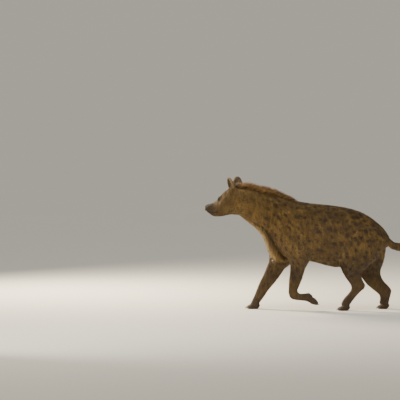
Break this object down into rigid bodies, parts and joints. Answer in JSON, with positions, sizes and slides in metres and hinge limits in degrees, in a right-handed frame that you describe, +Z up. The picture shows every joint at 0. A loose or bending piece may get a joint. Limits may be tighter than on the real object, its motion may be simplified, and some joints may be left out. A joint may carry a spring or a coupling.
{
  "type": "spotted hyena standing animal model",
  "caption": "Life-size spotted hyena in mid stride, head turned slightly away, one forepaw lifted; a still display model that stands on three paws.",
  "frame": {"origin": "on the floor, under the middle of the overall box", "axes": "the animal faces -X, its left side is at -Y, +Z is up; its longest extent runs along X"},
  "size_m": [1.7167, 0.2928, 0.9719],
  "materials": {
    "coat": "short coarse fur, matt",
    "long_coat": "long coarse hair in tapered locks, matt",
    "dark_coat": "short dark fur, matt",
    "nose": "bare dark skin, slightly moist",
    "eye": "wet and glossy",
    "claw": "dull horn"
  },
  "bodies": {
    "root": {"eye_left": "eye", "eye_right": "eye", "claw_foreleg_left_1": "claw", "claw_foreleg_left_2": "claw", "claw_foreleg_left_3": "claw", "claw_foreleg_left_4": "claw", "paw_foreleg_left": "dark_coat", "claw_foreleg_right_1": "claw", "claw_foreleg_right_2": "claw", "claw_foreleg_right_3": "claw", "claw_foreleg_right_4": "claw", "paw_foreleg_right": "dark_coat", "claw_hindleg_left_1": "claw", "claw_hindleg_left_2": "claw", "claw_hindleg_left_3": "claw", "claw_hindleg_left_4": "claw", "paw_hindleg_left": "dark_coat", "claw_hindleg_right_1": "claw", "claw_hindleg_right_2": "claw", "claw_hindleg_right_3": "claw", "claw_hindleg_right_4": "claw", "paw_hindleg_right": "dark_coat", "ear_left": "coat", "ear_right": "coat", "nose": "nose", "tail_base": "coat", "tail_brush": "dark_coat", "foreleg_left": "coat", "foreleg_right": "coat", "hindleg_left": "coat", "hindleg_right": "coat", "head": "coat", "torso": "coat", "neck": "coat", "mane": "long_coat", "throat_fringe": "long_coat"}
  },
  "joints": []
}
